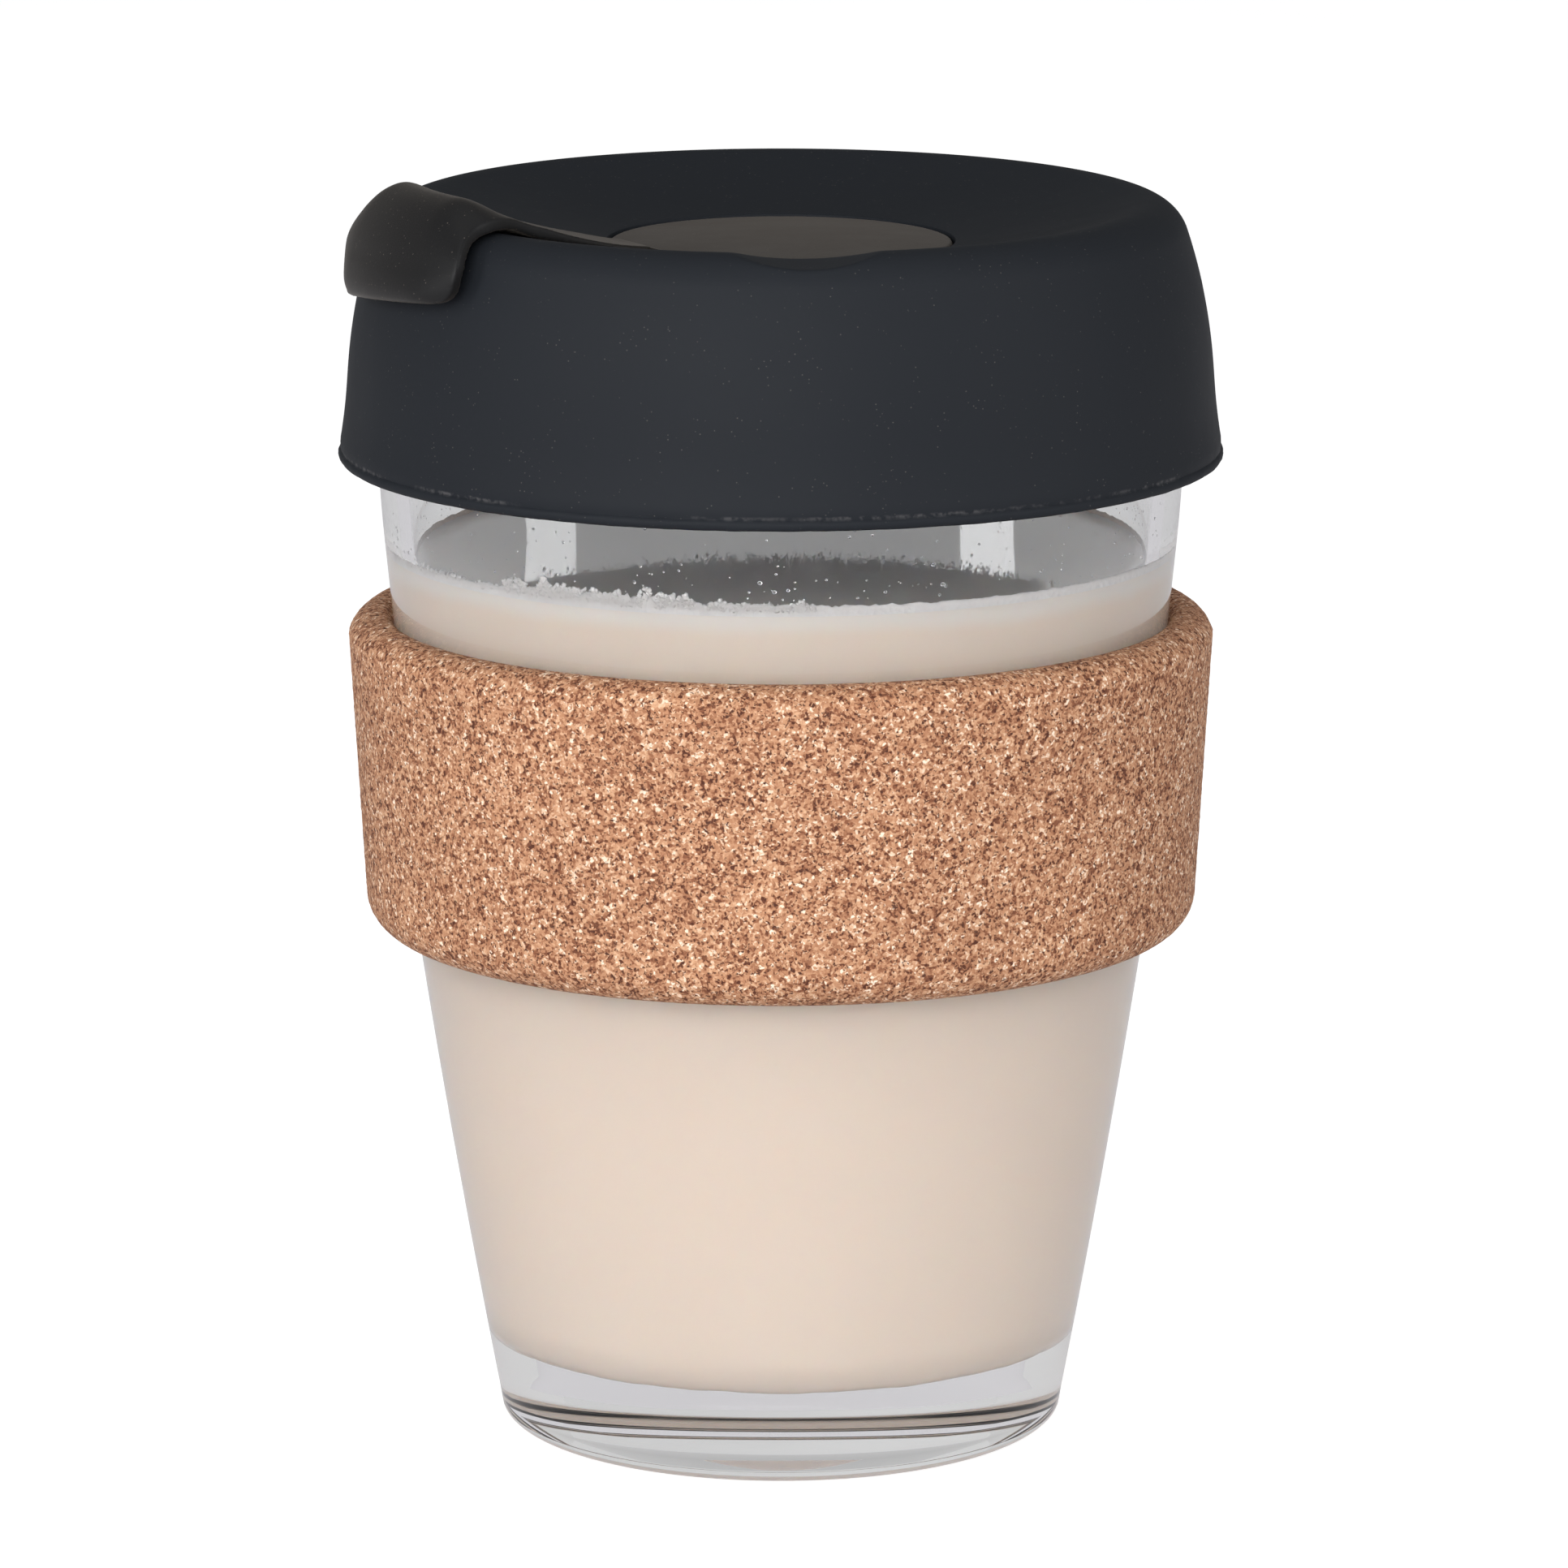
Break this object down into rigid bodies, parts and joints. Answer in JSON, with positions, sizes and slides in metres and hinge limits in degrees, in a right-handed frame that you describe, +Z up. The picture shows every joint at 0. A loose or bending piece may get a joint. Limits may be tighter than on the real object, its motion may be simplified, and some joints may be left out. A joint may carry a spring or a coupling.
{
  "type": "reusable travel cup",
  "caption": "Glass travel cup with a slip-on cork band, a black push-on lid and a swivelling splash plug with a lift tab.",
  "frame": {"origin": "centre of the cup's foot, on the table", "axes": "+Z up along the cup's axis, the viewer's side towards -Y, the lift tab towards -X and a little -Y"},
  "size_m": [0.088, 0.088, 0.1277],
  "materials": {
    "clear_glass": "clear polished",
    "cork": "matte pressed cork granules",
    "lid_black": "matte moulded",
    "plug_charcoal": "matte soft moulding"
  },
  "bodies": {
    "cup": {"glass_cup": "clear_glass"},
    "band": {"cork_band": "cork"},
    "lid_body": {"lid": "lid_black"},
    "plug_turn": {"plug_hub": "plug_charcoal"},
    "plug_lift": {"plug_arm": "plug_charcoal", "plug_stopper": "plug_charcoal"}
  },
  "joints": [
    {"name": "band_slide", "type": "slide", "parent": "cup", "child": "band", "axis": [0, 0, -1], "range_m": [0, 0.05]},
    {"name": "lid_lift", "type": "slide", "parent": "cup", "child": "lid_body", "axis": [0, 0, 1], "range_m": [0, 0.06]},
    {"name": "plug_swivel", "type": "hinge", "parent": "lid_body", "child": "plug_turn", "pos_m": [0, 0, 0.1185], "axis": [0, 0, 1], "range_deg": [-180, 180], "deforming": ["plug_stopper"]},
    {"name": "plug_flip", "type": "hinge", "parent": "plug_turn", "child": "plug_lift", "pos_m": [-0.01382, -0.00766, 0.12025], "axis": [-0.4848, 0.8746, 0], "range_deg": [0, 85]}
  ]
}
